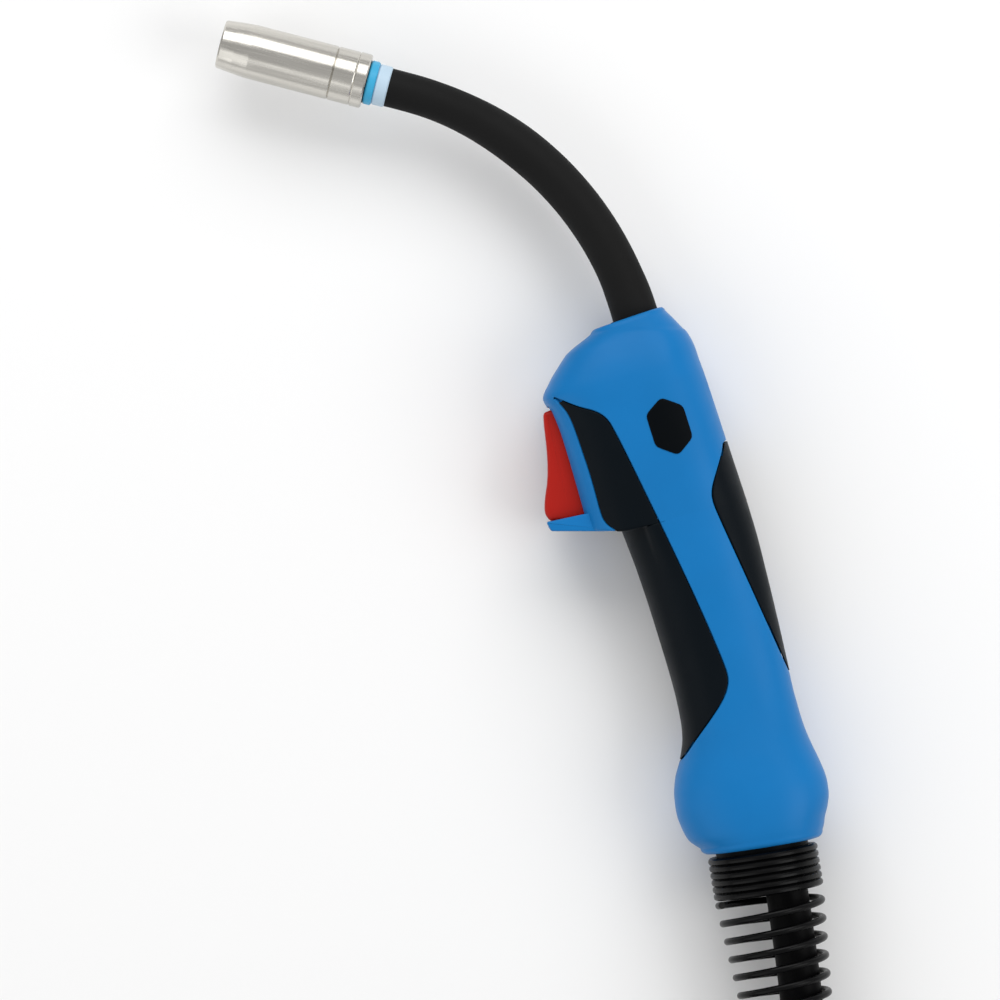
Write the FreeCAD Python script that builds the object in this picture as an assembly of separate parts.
"""MIG welding torch with its cable and central connector, as separate solids. Millimetres.

The torch lies on its side. +Y runs up the grip towards the neck, +X towards the back of the handle,
and +Z is up, across the handle. Everything is drawn about the handle's mid-plane and the middle of the
cable-end rim, and moved into the final frame when it is written: the origin is then the bottom centre
of the torch without its cable.
"""
import FreeCAD, Part
import math
import os

from FreeCAD import Vector

os.makedirs("parts", exist_ok=True)

# ---------------------------------------------------------------- driving dimensions
MID_HEIGHT = 22.0            # height of the handle's mid-plane above the surface
WALL = 2.4                   # handle shell wall
PAD_DEPTH = 1.4              # depth of the soft inlays
SPINE_X = 2.0                # where the front and back halves of a handle section meet
HEAD_START = 119.4           # where the head (with the trigger) begins along the grip
HANDLE_TOP = 192.4

# Handle sections: (along, front, back, half width)
GRIP = [(-4.0, -14.5, 17.5, 16.5), (-1.5, -16.5, 21.0, 18.6), (2.0, -18.9, 23.2, 20.0),
        (4.5, -21.3, 24.2, 20.8), (8.3, -24.5, 26.2, 21.5), (12.9, -25.7, 27.7, 21.9),
        (17.5, -26.2, 28.1, 22.0), (24.0, -25.5, 27.3, 21.6), (30.0, -23.7, 26.1, 20.8),
        (37.6, -19.6, 25.0, 19.5), (43.5, -17.4, 24.7, 18.7), (50.0, -16.4, 24.6, 18.1),
        (60.0, -16.0, 24.9, 17.7), (84.0, -16.8, 25.5, 17.6), (104.0, -18.1, 25.7, 18.4),
        (HEAD_START, -19.8, 25.2, 19.4)]
HEAD = [(HEAD_START, -31.9, 25.2, 19.4), (128.0, -31.9, 24.6, 20.5), (142.0, -32.1, 23.7, 21.4),
        (156.0, -32.6, 22.8, 21.8), (166.0, -33.8, 22.1, 21.8), (171.0, -35.2, 21.6, 21.4),
        (176.2, -31.8, 21.2, 20.4), (181.5, -26.6, 19.9, 18.8), (186.5, -20.8, 17.4, 16.8),
        (190.0, -14.6, 15.3, 14.7), (HANDLE_TOP, -10.9, 13.7, 12.8)]
SQUARE_FRONT_GRIP, SQUARE_FRONT_HEAD, SQUARE_BACK = 2.4, 3.4, 2.5
SECTION_STEP = 5.0           # spacing of the sections that a body is drawn through

# Neck: from the white collar back along a straight, a bend and a straight into the handle
NECK_FRONT = Vector(-60.3, 291.3, 0)
NOZZLE_ANGLE = 150.9         # direction in which the nozzle points, from +X
NECK_BEND = 58.1             # how far the neck turns
NECK_STRAIGHT_FRONT, NECK_RADIUS, NECK_STRAIGHT_BACK = 6.5, 113.5, 1.95
NECK_TUBE_OD, NECK_TUBE_ID = 10.0, 5.2
NECK_IN_HANDLE = 38.0        # length of the tube inside the handle
SLEEVE_IN_HANDLE = 9.0
UNION_START, UNION_END = 28.0, 54.0      # union block, from the top of the handle down
CRIMP_LENGTH, CRIMP_LIP = 22.0, 2.0
SLEEVE_FRONT_D, SLEEVE_MID_D, SLEEVE_BACK_D = 13.7, 15.4, 16.3
LINER_OD, WIRE_BORE = 4.4, 1.8

NOZZLE_LENGTH, NOZZLE_REAR_D, NOZZLE_MOUTH_D = 53.0, 19.4, 17.2
NOZZLE_TAPER = 11.0          # length of the taper to the mouth
WHITE_COLLAR, CYAN_RING = (4.7, 14.6), (3.1, 15.7)       # (length, diameter)
INSULATOR_D, INSULATOR_LENGTH = 15.2, 14.5
RUNNING_FIT = 0.05           # radial clearance of pieces that slide or turn on each other

# Cable end of the handle: ball, support spring, cable
CABLE_LEAN = 5.5             # the cable leaves the grip leaning to the trigger side
PIVOT_IN = 12.0              # ball centre, inside the rim
BALL_R, BALL_BORE_R, BOSS_R = 20.0, 14.3, 16.4
SPRING_D, SPRING_END_D, WIRE_D = 39.0, 22.6, 2.5
SPRING_START, CLOSED_TURNS, OPEN_TURNS, OPEN_PITCH = 13.8, 6, 15.5, 6.5
SPRING_PHASE = -14.0         # turns the open turns about the spring's axis, degrees
CABLE_D = 15.0
CABLE_OFF = 6.4              # the cable lies against the back of the ball's bore
SWING = 5.0                  # degrees each way

# Trigger and switch
TRIGGER_PIVOT = Vector(-28.6, 161.5, 0)
TRIGGER_HALF, TRIGGER_SWING = 8.0, 7.0
PIN_D = 3.0
PLUNGER_TRAVEL = 1.5

# Coil of the cable beyond the spring
COIL_CENTRE = Vector(-114.0, -208.0, 0)
COIL_OUTER_TURN = 97.5
TIE_THICK = 1.2

TOP_TURN = 90.0              # radius of the last turn, from which the tail climbs onto the coil
TAIL_LEAVES, TAIL_TURN, TAIL_RADIUS = 286.0, 112.0, 72.0

# Connector, which lies on the coil
COLLAR_D = 42.0

X, Y, Z = Vector(1, 0, 0), Vector(0, 1, 0), Vector(0, 0, 1)
SHAPES = {}
CORD_NODES = []


# ---------------------------------------------------------------- helpers
def add(node, shape, cord=False):
    """Keeps a sub-part under its node's name."""
    shape = shape.removeSplitter() if shape.ShapeType != "Compound" else shape
    SHAPES[node] = shape
    if cord:
        CORD_NODES.append(node)
    return shape


def heading(degrees):
    """Unit vector in the XY plane."""
    return Vector(math.cos(math.radians(degrees)), math.sin(math.radians(degrees)), 0)


def cylinder(base, direction, radius, length):
    return Part.makeCylinder(radius, length, base, direction)


def tube(base, direction, outer, inner, length):
    return cylinder(base, direction, outer, length).cut(
        cylinder(base - direction * 1.0, direction, inner, length + 2.0))


def turned(base, direction, profile):
    """Solid of revolution. profile is a closed outline of (distance along the axis, radius)."""
    side = direction.cross(Z)
    side.normalize()
    points = [base + direction * a + side * r for a, r in profile]
    face = Part.Face(Part.makePolygon(points + points[:1]))
    return face.revolve(base, direction, 360)


def prism(points, bottom, top):
    corners = [Vector(x, y, bottom) for x, y in points]
    return Part.Face(Part.makePolygon(corners + corners[:1])).extrude(Z * (top - bottom))


def hexagon(base, direction, flats, length):
    """Hexagonal bar."""
    side = direction.cross(Z)
    side.normalize()
    up = direction.cross(side)
    radius = flats / math.sqrt(3)
    corners = [base + side * (radius * math.cos(math.radians(60 * i)))
               + up * (radius * math.sin(math.radians(60 * i))) for i in range(6)]
    return Part.Face(Part.makePolygon(corners + corners[:1])).extrude(direction * length)


def slopes(stations, column):
    """Slopes of a smooth curve through the stations that never overshoots them."""
    rise = [(high[column] - low[column]) / (high[0] - low[0])
            for low, high in zip(stations, stations[1:])]
    inner = [0.0 if a * b <= 0 else 2 * a * b / (a + b) for a, b in zip(rise, rise[1:])]
    return [rise[0]] + inner + [rise[-1]]


def station(stations, along):
    """Section dimensions at any place along the grip."""
    index = max(i for i in range(len(stations) - 1) if i == 0 or stations[i][0] <= along)
    low, high = stations[index], stations[index + 1]
    span = high[0] - low[0]
    t = (along - low[0]) / span
    dims = [along]
    for column in (1, 2, 3):
        slope = slopes(stations, column)
        rise = 3 * t ** 2 - 2 * t ** 3
        dims.append(low[column] * (1 - rise) + high[column] * rise
                    + span * (t * (1 - t) ** 2 * slope[index] - t ** 2 * (1 - t) * slope[index + 1]))
    return tuple(dims)


def ease(value, start, end):
    """0 before start, 1 after end, and smooth between."""
    t = min(1.0, max(0.0, (value - start) / (end - start)))
    return t * t * (3 - 2 * t)


def half_edge(along, reach, half_width, square, sign):
    """One half of a section: from the spine's one side round to the other."""
    steps = 12
    points = []
    for i in range(steps + 1):
        angle = math.pi * (0.5 - i / steps) * sign
        c, s = abs(math.cos(angle)), math.sin(angle)
        x = SPINE_X - sign * abs(reach) * c ** (2 / square)
        z = half_width * math.copysign(abs(s) ** (2 / square), s)
        points.append(Vector(x, along, z))
    curve = Part.BSplineCurve()
    curve.interpolate(Points=points, InitialTangent=X * -sign, FinalTangent=X * sign)
    return curve.toShape()


def section(dims, square_front, inset=0.0):
    along, front, back, half = dims
    return Part.Wire([half_edge(along, SPINE_X - front - inset, half - inset, square_front, 1),
                      half_edge(along, back - SPINE_X - inset, half - inset, SQUARE_BACK, -1)])


def handle_loft(stations, square_front, inset=0.0, low=None, high=None):
    """Smooth body through evenly spaced sections between low and high."""
    low = stations[0][0] if low is None else low
    high = stations[-1][0] if high is None else high
    count = max(2, round((high - low) / SECTION_STEP))
    places = [low + (high - low) * i / count for i in range(count + 1)]
    return Part.makeLoft([section(station(stations, y), square_front, inset) for y in places], True)


def arc_path(points):
    """Straight runs joined by tangent arcs. Returns the wire, its length and the arcs' radii."""
    edges, radii, start = [], [], points[0]
    for i in range(1, len(points) - 1):
        back, ahead = points[i - 1] - points[i], points[i + 1] - points[i]
        turn = math.pi - back.getAngle(ahead)
        shorter = min(back.Length, ahead.Length)
        radius = 0.45 * shorter / math.tan(turn / 2)
        reach = 0.45 * shorter
        back.normalize()
        ahead.normalize()
        first, last = points[i] + back * reach, points[i] + ahead * reach
        middle = back + ahead
        middle.normalize()
        centre = points[i] + middle * math.hypot(radius, reach)
        edges.append(Part.LineSegment(start, first).toShape())
        edges.append(Part.Arc(first, centre - middle * radius, last).toShape())
        radii.append(radius)
        start = last
    edges.append(Part.LineSegment(start, points[-1]).toShape())
    wire = Part.Wire(edges)
    return wire, wire.Length, radii


def cable_tube(points, diameter, name):
    """Round tube along the runs and arcs, with a note of its sharpest bend."""
    wire, length, radii = arc_path(points)
    direction = points[1] - points[0]
    direction.normalize()
    circle = Part.Wire([Part.makeCircle(diameter / 2, points[0], direction)])
    solid = wire.makePipeShell([circle], True, False)
    ideal = math.pi * diameter ** 2 / 4 * length
    tightest = min(radii) if radii else 0.0
    print(f"{name}: length {length:.1f}, volume/ideal {solid.Volume / ideal:.4f}, "
          f"smallest radius {tightest:.1f}")
    return solid


# ---------------------------------------------------------------- neck line
AIM = heading(NOZZLE_ANGLE)                      # from the neck towards the nozzle's mouth
BEND_START = NECK_FRONT - AIM * NECK_STRAIGHT_FRONT
BEND_CENTRE = BEND_START + heading(NOZZLE_ANGLE + 90) * NECK_RADIUS


def neck_point(turned_by):
    """Point of the neck's bend, counted from the nozzle's side, and the way back to the handle."""
    angle = NOZZLE_ANGLE - turned_by
    return BEND_CENTRE - heading(angle + 90) * NECK_RADIUS, heading(angle) * -1


BEND_END, NECK_DOWN = neck_point(NECK_BEND)
NECK_EXIT = BEND_END + NECK_DOWN * NECK_STRAIGHT_BACK
TUBE_END = NECK_EXIT + NECK_DOWN * NECK_IN_HANDLE


def neck_wire(start, end):
    """The neck's centre line from a point ahead of the bend to one behind it."""
    middle, _ = neck_point(NECK_BEND / 2)
    return Part.Wire([Part.LineSegment(start, BEND_START).toShape(),
                      Part.Arc(BEND_START, middle, BEND_END).toShape(),
                      Part.LineSegment(BEND_END, end).toShape()])


def neck_sweep(start, end, radius):
    ring = Part.Wire([Part.makeCircle(radius, start, AIM)])
    return neck_wire(start, end).makePipeShell([ring], True, False)


# ---------------------------------------------------------------- nozzle end
WHITE_END = WHITE_COLLAR[0]
CYAN_END = WHITE_END + CYAN_RING[0]
NOZZLE_REAR = CYAN_END + 0.2
NOZZLE_MOUTH = NOZZLE_REAR + NOZZLE_LENGTH
TUBE_FRONT = 18.0
HOLDER_END, HOLDER_R = 38.0, 4.8
TIP_START, TIP_END = 32.0, 58.0
NOZZLE_TRAVEL = 14.0


def nozzle_end():
    base = NECK_FRONT
    tube_r = NECK_TUBE_OD / 2
    length, diameter = WHITE_COLLAR
    edge = 0.5
    white = turned(base, AIM, [(0, tube_r), (0, diameter / 2 - edge), (edge, diameter / 2),
                               (length - edge, diameter / 2), (length, diameter / 2 - edge),
                               (length, tube_r)])
    add("white_insulator_collar", white)
    length, diameter = CYAN_RING
    start = WHITE_END
    cyan = turned(base, AIM, [(start, tube_r), (start, diameter / 2 - edge), (start + edge, diameter / 2),
                              (start + length - edge, diameter / 2),
                              (start + length, diameter / 2 - edge), (start + length, tube_r)])
    add("cyan_seal_ring", cyan)

    insulator_end = CYAN_END + INSULATOR_LENGTH
    insulator = tube(base + AIM * CYAN_END, AIM, INSULATOR_D / 2, tube_r, INSULATOR_LENGTH)
    groove_at, wire_r = CYAN_END + 8.0, 0.6
    groove = turned(base, AIM, [(groove_at - wire_r, INSULATOR_D / 2 - 2 * wire_r),
                                (groove_at + wire_r, INSULATOR_D / 2 - 2 * wire_r),
                                (groove_at + wire_r, INSULATOR_D), (groove_at - wire_r, INSULATOR_D)])
    add("nozzle_insulator", insulator.cut(groove))
    ring = Part.makeTorus(INSULATOR_D / 2 - wire_r, wire_r - 0.02, base + AIM * groove_at, AIM)
    gap = Part.makeBox(6, 6, 3, base + AIM * groove_at + Vector(-3, -3, -INSULATOR_D / 2 - 1.5))
    add("nozzle_retaining_ring", ring.cut(gap))

    rear, mouth = NOZZLE_REAR_D / 2, NOZZLE_MOUTH_D / 2
    at, out = NOZZLE_REAR, NOZZLE_MOUTH
    seat_r, bore_r, mouth_r = INSULATOR_D / 2 + RUNNING_FIT, 7.4, 6.4
    seat_end = insulator_end + 1.0
    flange, band = 4.3, 12.2                    # two shallow turned steps near the rear
    nozzle = turned(base, AIM, [
        (at, seat_r), (at, rear - 0.5), (at + 0.5, rear), (at + flange - 0.4, rear),
        (at + flange, rear - 0.35), (at + flange + 0.4, rear - 0.1), (at + band - 0.4, rear - 0.1),
        (at + band, rear - 0.5), (at + band + 0.4, rear - 0.1), (out - NOZZLE_TAPER, rear - 0.1),
        (out - NOZZLE_TAPER / 2, (rear + mouth) / 2), (out - 0.6, mouth),
        (out, mouth - 0.4), (out, mouth_r + 0.3), (out - 0.5, mouth_r), (out - 16.0, bore_r),
        (seat_end, bore_r), (seat_end - 0.2, seat_r)])
    add("gas_nozzle", nozzle)

    bore = NECK_TUBE_ID / 2
    spigot = 6.0
    holder = turned(base, AIM, [
        (TUBE_FRONT - spigot, 1.6), (TUBE_FRONT - spigot, bore), (TUBE_FRONT, bore),
        (TUBE_FRONT, HOLDER_R), (HOLDER_END - 1.0, HOLDER_R), (HOLDER_END, HOLDER_R - 1.0),
        (HOLDER_END, 2.5), (TIP_START, 2.5), (TIP_START - 2.0, 1.6)])
    for i in range(6):
        side = FreeCAD.Rotation(AIM, 60 * i).multVec(Z)
        holder = holder.cut(cylinder(base + AIM * (TUBE_FRONT + 6.0), side, 0.9, 8.0))
    flats = 8.4
    key = hexagon(base + AIM * (HOLDER_END - 5.0), AIM, flats, 5.5)
    shank = cylinder(base + AIM * (HOLDER_END - 5.0), AIM, 6.0, 5.5)
    holder = holder.cut(shank.cut(key))
    add("gas_diffuser", holder)
    wire_r = 0.6
    tip = turned(base, AIM, [
        (TIP_START, wire_r), (TIP_START, 2.5), (HOLDER_END, 2.5), (HOLDER_END, 3.0),
        (TIP_END - 4.0, 3.0), (TIP_END - 0.5, 2.1), (TIP_END, 1.7), (TIP_END, wire_r)])
    add("contact_tip", tip)


# ---------------------------------------------------------------- neck
def neck():
    front = NECK_FRONT + AIM * TUBE_FRONT
    copper = neck_sweep(front, TUBE_END, NECK_TUBE_OD / 2)
    copper = copper.cut(neck_sweep(front + AIM, TUBE_END + NECK_DOWN, NECK_TUBE_ID / 2))
    add("neck_tube", copper)
    liner_front = NECK_FRONT + AIM * (TUBE_FRONT - 6.2)
    liner_end = NECK_EXIT + NECK_DOWN * UNION_END
    liner = neck_sweep(liner_front, liner_end, LINER_OD / 2)
    liner = liner.cut(neck_sweep(liner_front + AIM, liner_end + NECK_DOWN, WIRE_BORE / 2))
    add("wire_liner", liner)

    bend = math.radians(NECK_BEND) * NECK_RADIUS
    outside = NECK_STRAIGHT_FRONT + bend + NECK_STRAIGHT_BACK
    whole = outside + SLEEVE_IN_HANDLE
    count = 20
    rings = []
    for i in range(count + 1):
        along = whole * i / count
        if along <= NECK_STRAIGHT_FRONT:
            point, way = NECK_FRONT - AIM * along, AIM * -1
        elif along <= NECK_STRAIGHT_FRONT + bend:
            point, way = neck_point(math.degrees((along - NECK_STRAIGHT_FRONT) / NECK_RADIUS))
        else:
            point, way = BEND_END + NECK_DOWN * (along - NECK_STRAIGHT_FRONT - bend), NECK_DOWN
        diameter = (SLEEVE_FRONT_D + (SLEEVE_MID_D - SLEEVE_FRONT_D) * ease(along, 14.0, 56.0)
                    + (SLEEVE_BACK_D - SLEEVE_MID_D) * ease(along, outside - 20.0, outside))
        rings.append(Part.Wire([Part.makeCircle(diameter / 2, point, way * -1)]))
    end = NECK_EXIT + NECK_DOWN * SLEEVE_IN_HANDLE
    sleeve = Part.makeLoft(rings, True)
    sleeve = sleeve.cut(neck_sweep(NECK_FRONT + AIM, end + NECK_DOWN, NECK_TUBE_OD / 2))
    add("neck_sleeve", sleeve)

    nut_at = NECK_EXIT + NECK_DOWN * 16.0
    nut = hexagon(nut_at, NECK_DOWN, 17.0, 12.0).common(
        turned(nut_at, NECK_DOWN, [(0, 0), (0, 8.6), (1.2, 9.8), (10.8, 9.8), (12.0, 8.6), (12.0, 0)]))
    nut = nut.cut(cylinder(nut_at - NECK_DOWN, NECK_DOWN, NECK_TUBE_OD / 2, 14.0))
    add("neck_union_nut", nut)
    block = turned(NECK_EXIT, NECK_DOWN, [
        (UNION_START, NECK_TUBE_OD / 2), (UNION_START, 7.6), (46.0, 7.6), (47.0, 6.4), (UNION_END, 6.4),
        (UNION_END, LINER_OD / 2), (NECK_IN_HANDLE, LINER_OD / 2), (NECK_IN_HANDLE, NECK_TUBE_OD / 2)])
    add("cable_union_block", block)


# ---------------------------------------------------------------- cable-end frame
OUT = Vector(-math.sin(math.radians(CABLE_LEAN)), -math.cos(math.radians(CABLE_LEAN)), 0)
SIDE = Vector(math.cos(math.radians(CABLE_LEAN)), -math.sin(math.radians(CABLE_LEAN)), 0)
PIVOT = OUT * -PIVOT_IN


def at_pivot(out, side=0.0, up=0.0):
    return PIVOT + OUT * out + SIDE * side + Z * up


# ---------------------------------------------------------------- handle
SCREWS = [(-19.5, 177.0), (19.0, 139.0), (-6.4, 97.0), (-6.4, 42.0)]
BOSS_OUTER, SCREW_R, SCREW_HEAD_R, SCREW_LENGTH = 3.4, 1.45, 2.75, 20.0
SCREW_HEAD_Z = -13.5         # underside of the screws' heads, measured from the mid-plane

FRONT_PAD_HEAD = [(-31.4, 170.6), (-29.2, 170.0), (-24.6, 165.6), (-19.6, 163.2), (-15.9, 159.9),
                  (-14.2, 155.4), (-7.2, 122.0), (-4.2, 107.5), (-60.0, 107.5), (-60.0, 119.0),
                  (-19.8, 119.6), (-25.2, 125.0), (-25.7, 139.5), (-26.6, 152.4), (-27.6, 161.0),
                  (-30.0, 167.0)]
FRONT_PAD_GRIP = [(-4.2, 107.5), (-0.2, 85.6), (2.4, 68.0), (2.8, 61.2), (1.6, 57.2), (-1.4, 53.2),
                  (-7.2, 47.6), (-15.2, 40.8), (-19.4, 37.0), (-60.0, 37.0), (-60.0, 119.6),
                  (-14.0, 119.6), (-7.0, 121.0)]
REAR_PAD = [(60.0, 141.0), (22.6, 141.0), (21.0, 137.4), (17.4, 131.5), (14.4, 126.6), (13.4, 122.4),
            (14.2, 116.0), (16.1, 105.1), (18.2, 93.6), (20.4, 81.0), (22.2, 70.8), (23.9, 61.3),
            (25.4, 55.0), (60.0, 55.0)]
LIP = [(-45.0, 128.9), (-44.0, 125.7), (-26.0, 121.0), (-26.0, 131.0), (-30.0, 128.6)]
TRIGGER_OUTLINE = [(-33.0, 167.0), (-36.3, 166.6), (-37.3, 161.6), (-38.2, 155.0), (-39.3, 149.0),
                   (-41.3, 142.0), (-43.7, 136.0), (-44.5, 131.6), (-43.5, 129.3)]


def outer_body(inset=0.0):
    grip = handle_loft(GRIP, SQUARE_FRONT_GRIP, inset)
    head = handle_loft(HEAD, SQUARE_FRONT_HEAD, inset)
    return grip, head


def front_pad_solid(side):
    """Region of the front inlay on one side of the mid-plane."""
    low, high = (0, 40) if side > 0 else (-40, 0)
    return prism(FRONT_PAD_HEAD, low, high).fuse(prism(FRONT_PAD_GRIP, low, high))


def half_space(side):
    return Part.makeBox(200, 400, 60, Vector(-100, -100, 0 if side > 0 else -60))


def handle():
    grip, head = outer_body()
    slope = prism([(-19.8, 119.4), (-60.0, 129.87), (-60.0, 100.0), (-19.8, 100.0)], -40, 40)
    head = head.cut(slope)
    lip = prism(LIP, -12.5, 12.5)
    lip = lip.makeFillet(1.2, [e for e in lip.Edges if e.BoundBox.ZLength < 0.01
                               and e.CenterOfMass.x < -30])
    body = grip.fuse(head).fuse(lip)

    grip_in = handle_loft(GRIP, SQUARE_FRONT_GRIP, WALL, 27.0, HEAD_START)
    head_in = handle_loft(HEAD, SQUARE_FRONT_HEAD, WALL, HEAD_START + WALL, HANDLE_TOP - WALL)
    bridge = handle_loft(GRIP, SQUARE_FRONT_GRIP, WALL, 104.0, HEAD_START)
    bridge.translate(Y * WALL)
    shell = body.cut(grip_in).cut(head_in).cut(bridge)

    # rim plane, ball socket and the flared mouth below it
    rim_cut = cylinder(at_pivot(PIVOT_IN), OUT, 60.0, 40.0)
    socket = Part.makeSphere(BALL_R + RUNNING_FIT, PIVOT)
    flare = turned(PIVOT, OUT, [(4.0, 0), (4.0, BOSS_R + 0.7), (PIVOT_IN + 0.1, BOSS_R + 1.6),
                                (PIVOT_IN + 0.1, 0)])
    opening_up = cylinder(at_pivot(-34.0), OUT, BALL_BORE_R + 1.2, 30.0)
    shell = shell.cut(rim_cut).cut(socket).cut(flare).cut(opening_up)

    # neck hole and trigger slot
    shell = shell.cut(SHAPES["neck_sleeve"])
    shell = shell.cut(cylinder(NECK_EXIT - NECK_DOWN * 10, NECK_DOWN, SLEEVE_MID_D / 2, 20.0))
    slot_half = TRIGGER_HALF + 0.4
    slot = prism([(-60.0, 167.9), (-27.0, 167.9), (-20.0, 160.0), (-20.0, 126.4), (-43.0, 126.4),
                  (-43.6, 126.9), (-44.3, 128.0), (-60.0, 128.0)], -slot_half, slot_half)
    shell = shell.cut(slot)

    pads = {}
    inner_grip, inner_head = outer_body(PAD_DEPTH)
    core = inner_grip.fuse(inner_head)
    slab = body.cut(core)
    for name, side in (("left", 1), ("right", -1)):
        region = front_pad_solid(side)
        guard = prism([(-60, 168), (-20, 168), (-20, 126), (-60, 126)], -slot_half, slot_half)
        pads["grip_inlay_front_" + name] = slab.common(region).cut(guard)
        low, high = (0, 40) if side > 0 else (-40, 0)
        pads["grip_inlay_rear_" + name] = slab.common(prism(REAR_PAD, low, high))

    # screw bosses: towers that meet at the mid-plane
    for x, y in SCREWS:
        tower = cylinder(Vector(x, y, -19), Z, BOSS_OUTER, 38).common(body)
        shell = shell.fuse(tower)
    for x, y in SCREWS:
        shell = shell.cut(cylinder(Vector(x, y, SCREW_HEAD_Z), Z, SCREW_R, SCREW_LENGTH))
        shell = shell.cut(cylinder(Vector(x, y, -40), Z, SCREW_HEAD_R + 0.15, 40 + SCREW_HEAD_Z))
    # bosses that carry the trigger's pivot pin
    for side in (1, -1):
        start = TRIGGER_PIVOT + Z * side * slot_half
        post = cylinder(start, Z * side, PIN_D / 2 + 2.0, 12.0).common(body)
        shell = shell.fuse(post)
    shell = shell.cut(cylinder(TRIGGER_PIVOT - Z * 14, Z, PIN_D / 2, 28))
    # shelf that carries the microswitch
    shelf = prism([(-17.0, 133.5), (-4.5, 133.5), (-4.5, 137.0), (-17.0, 137.0)], -21, 21)
    shell = shell.fuse(shelf.common(body).cut(prism([(-18, 133), (-3, 133), (-3, 138), (-18, 138)], -3, 3)))

    for name, pad in pads.items():
        for x, y in SCREWS:
            pad = pad.cut(cylinder(Vector(x, y, -40), Z, SCREW_HEAD_R + 0.15, 40 + SCREW_HEAD_Z))
        shell = shell.cut(pad)
        add(name, pad)
    for name, side in (("left", 1), ("right", -1)):
        add("handle_shell_" + name, shell.common(half_space(side)))

    screws = []
    for x, y in SCREWS:
        shank = cylinder(Vector(x, y, SCREW_HEAD_Z), Z, SCREW_R, SCREW_LENGTH)
        head_disc = cylinder(Vector(x, y, SCREW_HEAD_Z - 2.0), Z, SCREW_HEAD_R, 2.0)
        cross = Part.makeBox(3.4, 0.8, 1.2, Vector(x - 1.7, y - 0.4, SCREW_HEAD_Z - 2.2))
        cross = cross.fuse(Part.makeBox(0.8, 3.4, 1.2, Vector(x - 0.4, y - 1.7, SCREW_HEAD_Z - 2.2)))
        screws.append(shank.fuse(head_disc).cut(cross))
    add("handle_screws", Part.makeCompound(screws))


# ---------------------------------------------------------------- trigger and switch
def trigger():
    back = [(-26.0, 131.0), (-24.6, 137.0), (-24.6, 158.0), (-26.0, 164.5), (-29.0, 166.4)]
    outline = TRIGGER_OUTLINE + [(-34.0, 128.2)] + back
    body = prism(outline, -TRIGGER_HALF, TRIGGER_HALF)
    body = body.cut(cylinder(TRIGGER_PIVOT - Z * 20, Z, PIN_D / 2 + RUNNING_FIT, 40))
    nub = prism([(-24.8, 147.5), (-20.4, 149.4), (-20.4, 151.0), (-24.8, 153.0)], -2.2, 2.2)
    seat = cylinder(Vector(-24.6, 141.0, 0), X, 1.6, 1.4)
    body = body.fuse(nub).fuse(seat)
    add("trigger", body)
    add("trigger_pivot_pin", cylinder(TRIGGER_PIVOT - Z * 13.5, Z, PIN_D / 2, 27))

    wire_r, coil_r, turns = 0.35, 2.6, 5
    first, last = -24.6 + wire_r, -17.0 - wire_r
    helix = Part.makeHelix((last - first) / turns, last - first, coil_r)
    start = helix.Edges[0]
    ring = Part.Wire([Part.makeCircle(wire_r, start.valueAt(start.FirstParameter),
                                      start.tangentAt(start.FirstParameter))])
    coil = Part.Wire(helix.Edges).makePipeShell([ring], True, True)
    coil.Placement = FreeCAD.Placement(Vector(first, 141.0, 0), FreeCAD.Rotation(Z, X))
    add("trigger_spring", coil)

    body = Part.makeBox(10.0, 20.0, 6.4, Vector(-17.0, 137.0, -3.2))
    body = body.cut(cylinder(Vector(-17.1, 150.2, 0), X, 1.3 + RUNNING_FIT, 0.8 + PLUNGER_TRAVEL))
    for y in (140.0, 154.0):
        body = body.cut(cylinder(Vector(-10.0, y, -5), Z, 1.1, 10))
    terminals = [Part.makeBox(3.0, 0.6, 3.0, Vector(-7.0, y, -1.5)) for y in (139.5, 147.0, 154.5)]
    for piece in terminals:
        body = body.fuse(piece)
    add("microswitch_body", body)
    plunger = cylinder(Vector(-20.1, 150.2, 0), X, 1.3, 3.7)
    add("microswitch_plunger", plunger)


# ---------------------------------------------------------------- ball, spring, cable
SPRING_CLOSED_END = SPRING_START + CLOSED_TURNS * WIRE_D
SPRING_END = SPRING_CLOSED_END + OPEN_TURNS * OPEN_PITCH


def spring_radius(out):
    """Mean radius of the support spring at a distance from the ball's centre."""
    share = max(0.0, (out - SPRING_CLOSED_END) / (SPRING_END - SPRING_CLOSED_END))
    return (SPRING_D - WIRE_D) / 2 + (SPRING_END_D - SPRING_D) / 2 * share


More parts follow.
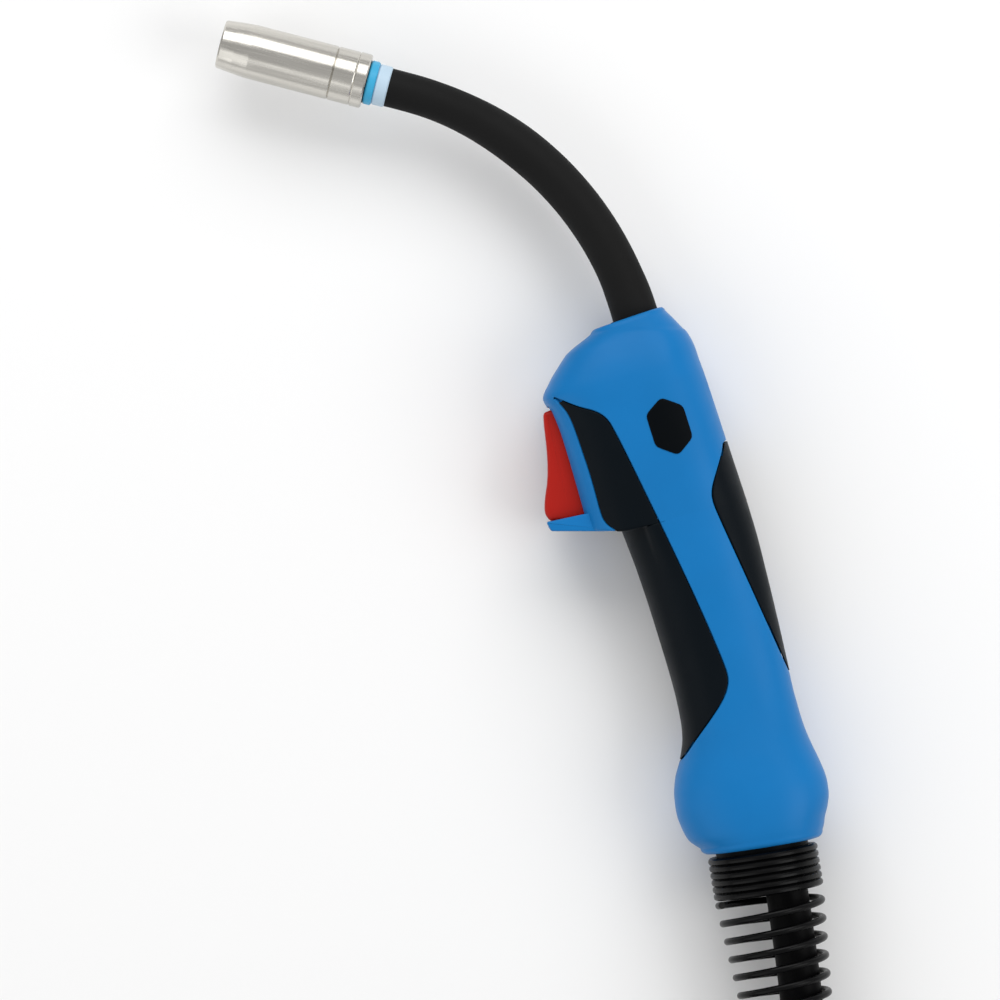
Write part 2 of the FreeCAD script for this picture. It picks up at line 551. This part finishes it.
def ball_and_spring():
    ball = Part.makeSphere(BALL_R, PIVOT)
    boss_end = SPRING_CLOSED_END
    seat_r = SPRING_D / 2 - WIRE_D
    boss = turned(PIVOT, OUT, [(0, 0), (0, BOSS_R), (SPRING_START, BOSS_R), (SPRING_START, seat_r),
                               (boss_end, seat_r), (boss_end, 0)])
    ball = ball.fuse(boss).cut(cylinder(at_pivot(-40), OUT, BALL_BORE_R, 100))
    top = -math.sqrt(BALL_R ** 2 - BALL_BORE_R ** 2) + 1.0
    ball = ball.cut(cylinder(at_pivot(top), OUT * -1, 40, 40))
    add("knuckle_ball", ball)

    outer = SPRING_D / 2
    profile = []
    for i in range(CLOSED_TURNS):
        low = SPRING_START + i * WIRE_D
        profile += [(low, outer - 0.8), (low + 0.6, outer - 0.15), (low + WIRE_D / 2, outer),
                    (low + 2.0, outer - 0.15)]
    profile += [(SPRING_CLOSED_END, outer - 0.8), (SPRING_CLOSED_END, seat_r), (SPRING_START, seat_r)]
    closed = turned(PIVOT, OUT, profile)
    wire_r = WIRE_D / 2
    first, last = SPRING_CLOSED_END + wire_r, SPRING_END + wire_r
    narrow, wide = spring_radius(SPRING_END), spring_radius(0)
    flare = math.degrees(math.atan((wide - narrow) / (last - first)))
    helix = Part.makeHelix(OPEN_PITCH, last - first, narrow, flare)
    start = helix.Edges[0]
    ring = Part.Wire([Part.makeCircle(wire_r, start.valueAt(start.FirstParameter),
                                      start.tangentAt(start.FirstParameter))])
    open_turns = Part.Wire(helix.Edges).makePipeShell([ring], True, True)
    turned_round = FreeCAD.Rotation(OUT, SPRING_PHASE).multiply(FreeCAD.Rotation(Z, OUT * -1))
    open_turns.Placement = FreeCAD.Placement(at_pivot(last), turned_round)
    end_r = SPRING_END_D / 2
    end_turns = turned(PIVOT, OUT, [
        (last + wire_r, end_r - WIRE_D), (last + wire_r, end_r - 0.8), (last + 2 * wire_r, end_r),
        (last + 3 * wire_r, end_r - 0.8), (last + 4 * wire_r, end_r), (last + 5 * wire_r, end_r - 0.8),
        (last + 5 * wire_r, end_r - WIRE_D)])
    add("cable_support_spring", Part.makeCompound([closed, open_turns, end_turns]), cord=True)


CABLE_BEND = 58.0            # where the cable starts to lean towards the spring's narrow end
SWIVEL_START, SWIVEL_END = -15.0, SPRING_END + 10.0
JOINT_GAP = 0.4


def swivel_cable_points():
    return [at_pivot(SWIVEL_START, CABLE_OFF), at_pivot(CABLE_BEND, CABLE_OFF), at_pivot(SWIVEL_END, 0.2)]


def cable():
    crimp_seat = NECK_EXIT + NECK_DOWN * (UNION_END + CRIMP_LIP)
    below_crimp = crimp_seat + NECK_DOWN * (CRIMP_LENGTH + 6.0)
    above_ball = at_pivot(SWIVEL_START - 22.0, CABLE_OFF)
    inside = [crimp_seat, below_crimp, above_ball, at_pivot(SWIVEL_START - JOINT_GAP, CABLE_OFF)]
    add("cable_in_handle", cable_tube(inside, CABLE_D, "cable in handle"))
    add("cable_in_spring", cable_tube(swivel_cable_points(), CABLE_D, "cable in spring"), cord=True)


# ---------------------------------------------------------------- the run, the coil, the tail
FLOOR = -MID_HEIGHT + 0.03    # the torch itself reaches a little lower
LIE = FLOOR + CABLE_D / 2
LOW_TURN, HIGH_TURN = LIE + TIE_THICK, LIE + TIE_THICK + 13.0


def run_points():
    """Cable from the spring's end down to the surface and into the coil's outer turn."""
    lead = swivel_cable_points()
    aim = lead[2] - lead[1]
    aim.normalize()
    first = lead[2] + aim * JOINT_GAP
    last = COIL_CENTRE + X * COIL_OUTER_TURN
    return [first, first + aim * 14.0, Vector(last.x + 0.4, last.y + 42.0, -7.6),
            Vector(last.x, last.y + 19.0, LOW_TURN), Vector(last.x, last.y, LOW_TURN)]


def coil_solid():
    outer = COIL_OUTER_TURN + CABLE_D / 2
    inner = outer - 3 * CABLE_D
    step = CABLE_D / 2
    floor = FLOOR + TIE_THICK
    profile = [(0, inner), (0, outer), (CABLE_D, outer), (13.0 + CABLE_D, outer - step + 1),
               (13.0 + CABLE_D, inner + step - 1), (CABLE_D, inner)]
    base = Vector(COIL_CENTRE.x, COIL_CENTRE.y, floor)
    points = [base + Z * a + X * r for a, r in profile]
    face = Part.Face(Part.makePolygon(points + points[:1]))
    return face.revolve(base, Z, 360), inner, outer


TIE_ANGLES = (95.0, 330.0)
TIE_WIDTH = 16.0


def tie(angle, inner, outer):
    """Strap once round the coil's section."""
    way = heading(angle)
    across = heading(angle + 90)
    top = FLOOR + TIE_THICK + 13.0 + CABLE_D
    def box(low, high, bottom, ceiling):
        corner = COIL_CENTRE + way * low - across * (TIE_WIDTH / 2)
        base = Vector(corner.x, corner.y, bottom)
        face = Part.Face(Part.makePolygon([base, base + way * (high - low),
                                           base + way * (high - low) + across * TIE_WIDTH,
                                           base + across * TIE_WIDTH, base]))
        return face.extrude(Z * (ceiling - bottom))
    gap = 1.6
    outside = box(inner - gap - TIE_THICK, outer + gap + TIE_THICK, FLOOR, top + TIE_THICK)
    return outside.cut(box(inner - gap, outer + gap, FLOOR + TIE_THICK, top))


def tail_points():
    """The tail bends inward as it climbs, until it lies level on the coil in line with the connector."""
    centre = COIL_CENTRE + heading(TAIL_LEAVES) * (TOP_TURN - TAIL_RADIUS)
    level = FLOOR + TIE_THICK + 13.0 + CABLE_D + COLLAR_D / 2 + 0.2
    corners = 4
    share = TAIL_TURN / corners
    points = [centre + heading(TAIL_LEAVES) * TAIL_RADIUS]
    for i in range(corners):
        angle = TAIL_LEAVES - share * (i + 0.5)
        points.append(centre + heading(angle) * (TAIL_RADIUS / math.cos(math.radians(share / 2))))
    points.append(centre + heading(TAIL_LEAVES - TAIL_TURN) * TAIL_RADIUS)
    for i, point in enumerate(points):
        point.z = HIGH_TURN + (level - HIGH_TURN) * ease(i, 0.4, corners)
    return points


def laid_cable():
    coil, inner, outer = coil_solid()
    run = cable_tube(run_points(), CABLE_D, "cable run").cut(coil)
    add("cable_run", run, cord=True)
    add("cable_coil", coil, cord=True)
    for name, angle in zip(("coil_strap_a", "coil_strap_b"), TIE_ANGLES):
        add(name, tie(angle, inner, outer), cord=True)
    points = tail_points()
    tail = cable_tube(points, CABLE_D, "cable tail").cut(coil)
    add("cable_tail", tail, cord=True)
    aim = points[-1] - points[-2]
    aim.normalize()
    return points[-1], aim


# ---------------------------------------------------------------- connector
def connector(entry, way):
    """Central connector: entry is where the cable goes in, way is where its pins point."""
    up = Z
    side = way.cross(up)

    def at(a):
        return entry + way * a

    cable_r = CABLE_D / 2
    sleeve = turned(entry, way, [(-14.0, cable_r), (-14.0, cable_r + 1.6), (22.0, 13.0), (30.0, 13.0),
                                 (30.0, cable_r)])
    for i in range(6):
        low = -8.0 + i * 5.0
        sleeve = sleeve.cut(turned(entry, way, [(low, cable_r + 1.4 + 0.13 * (low + 14)), (low, 20.0),
                                                (low + 1.8, 20.0),
                                                (low + 1.8, cable_r + 1.4 + 0.13 * (low + 14))]))
    add("connector_bend_sleeve", sleeve, cord=True)

    housing = turned(entry, way, [
        (22.0, 13.0), (22.0, 15.5), (28.0, 18.0), (66.0, 18.0), (70.0, 16.6), (74.0, 16.6),
        (74.0, 12.0), (30.0, 12.0), (30.0, 13.0)])
    screw_at, screw_r = 44.0, 1.6
    for i in range(12):
        angle = math.radians(30 * i + 15)
        rib = at(34.0) + side * (18.6 * math.cos(angle)) + up * (18.6 * math.sin(angle))
        housing = housing.cut(cylinder(rib, way, 1.5, 26.0))
    screws = []
    for s in (1, -1):
        start = at(screw_at) + side * s * 11.0
        shank = cylinder(start, side * s, screw_r, 5.6)
        head = cylinder(start + side * s * 5.0, side * s, 2.6, 1.6)
        housing = housing.cut(shank).cut(cylinder(start + side * s * 5.0, side * s, 2.6, 8.0))
        screws.append(shank.fuse(head))
    add("connector_housing", housing, cord=True)

    body = turned(entry, way, [
        (8.0, 0), (8.0, cable_r - 2.5), (30.0, cable_r - 2.5), (30.0, 11.0), (74.0, 11.0),
        (74.0, 12.0), (78.0, 12.0), (78.0, 17.5), (81.0, 17.5), (81.0, 14.6), (100.0, 14.6),
        (100.0, 0)])
    pin_bore_r = 5.0
    body = body.cut(cylinder(at(70.0), way, pin_bore_r, 40.0))
    for s in screws:
        body = body.cut(s)
    add("connector_screws", Part.makeCompound(screws), cord=True)

    pin = turned(entry, way, [
        (70.0, 2.2), (70.0, pin_bore_r), (104.0, pin_bore_r), (104.5, pin_bore_r - 0.1),
        (122.0, pin_bore_r - 0.1), (123.0, 4.2), (123.0, 2.2)])
    pin = pin.cut(cylinder(at(108.0), way, 2.2, 20.0))
    add("connector_main_pin", pin, cord=True)
    nut = hexagon(at(123.0), way, 8.0, 5.0).cut(cylinder(at(122.0), way, 1.6, 7.0))
    add("connector_liner_nut", nut, cord=True)

    face = tube(at(100.0), way, 16.2, pin_bore_r, 4.0)
    nipple_at, nipple_r = 11.0, 2.4
    pin_out, pin_down, control_r = 11.0, 5.0, 1.6
    nipple_base = at(90.0) + up * nipple_at
    hole = cylinder(nipple_base, way, nipple_r, 40.0)
    body = body.cut(hole)
    face = face.cut(hole)
    nipple = tube(nipple_base, way, nipple_r, 1.2, 23.0)
    groove = 109.5
    ring_r = 0.7
    seal_base = at(groove) + up * nipple_at
    cutter = tube(seal_base - way * ring_r, way, nipple_r + 2, nipple_r - ring_r, 2 * ring_r)
    add("gas_nipple", nipple.cut(cutter), cord=True)
    add("gas_nipple_o_ring", Part.makeTorus(nipple_r, ring_r - 0.02, seal_base, way), cord=True)

    for name, s in (("control_pin_a", 1), ("control_pin_b", -1)):
        base = at(92.0) + side * s * pin_out - up * pin_down
        bore = cylinder(base, way, control_r + RUNNING_FIT, 30.0)
        body = body.cut(bore)
        face = face.cut(bore)
        length = 18.5
        spring_pin = cylinder(base + way * 3.4, way, control_r, length)
        spring_pin = spring_pin.makeFillet(0.7, [e for e in spring_pin.Edges
                                                 if (e.CenterOfMass - base).Length > length])
        add(name, spring_pin, cord=True)
    add("connector_face", face, cord=True)
    add("connector_body", body, cord=True)

    radius = COLLAR_D / 2
    collar = turned(entry, way, [
        (74.4, 12.0 + RUNNING_FIT), (74.4, radius - 1.5), (76.0, radius), (93.5, radius),
        (95.0, radius - 1.2), (102.0, radius - 1.2), (102.0, 16.7), (81.3, 16.7),
        (81.3, 17.5 + RUNNING_FIT), (77.7, 17.5 + RUNNING_FIT), (77.7, 12.0 + RUNNING_FIT)])
    for i in range(16):
        angle = math.radians(22.5 * i)
        spot = at(73.0) + side * (radius + 0.9) * math.cos(angle) + up * (radius + 0.9) * math.sin(angle)
        collar = collar.cut(cylinder(spot, way, 2.0, 20.5))
    add("connector_collar_nut", collar, cord=True)


# ---------------------------------------------------------------- everything, then the final frame
def crimp():
    base = NECK_EXIT + NECK_DOWN * UNION_END
    sleeve = turned(base, NECK_DOWN, [
        (0.0, 3.0), (0.0, 9.3), (CRIMP_LENGTH, 9.3), (CRIMP_LENGTH + 1.0, 8.6),
        (CRIMP_LENGTH + 1.0, CABLE_D / 2), (CRIMP_LIP, CABLE_D / 2), (CRIMP_LIP, 3.0)])
    add("cable_crimp_sleeve", sleeve)


def switch_leads():
    leads = []
    for s, y in ((1, 147.3), (-1, 154.8)):
        path = [Vector(-3.2, y, s * 1.0), Vector(-3.0, y - 6.0, s * 6.0), Vector(-3.4, 130.0, s * 9.5),
                Vector(-4.2, 112.0, s * 9.8), Vector(-4.6, 102.0, s * 9.4)]
        leads.append(cable_tube(path, 1.4, "switch lead"))
    add("switch_leads", Part.makeCompound(leads))


nozzle_end()
neck()
crimp()
handle()
trigger()
ball_and_spring()
cable()
switch_leads()
entry, way = laid_cable()
connector(entry, way)

torch = Part.makeCompound([s for n, s in SHAPES.items() if n not in CORD_NODES])
box = torch.optimalBoundingBox(False, False)
shift = Vector(-(box.XMin + box.XMax) / 2, -(box.YMin + box.YMax) / 2, -box.ZMin)
print("shift", shift, "torch box", box.XLength, box.YLength, box.ZLength)
print("cord nodes", CORD_NODES)
for name, place in (("trigger pivot", TRIGGER_PIVOT), ("ball", PIVOT), ("neck front", NECK_FRONT),
                    ("plug entry", entry), ("rim", Vector(0, 0, 0)), ("coil", COIL_CENTRE)):
    print("place", name, [round(v / 1000, 6) for v in place + shift])
for name, line in (("aim", AIM), ("out", OUT), ("plug way", way)):
    print("line", name, [round(v, 6) for v in line])
print("ranges", {"trigger deg": TRIGGER_SWING, "plunger mm": PLUNGER_TRAVEL, "nozzle mm": NOZZLE_TRAVEL,
                 "cable swing deg": SWING})
for node, shape in SHAPES.items():
    placed = shape.copy()
    placed.translate(shift)
    placed.exportStep(f"parts/{node}.step")
    solids = len(placed.Solids)
    print(f"{node}: solids {solids}, volume {placed.Volume:.1f}, valid {placed.isValid()}")
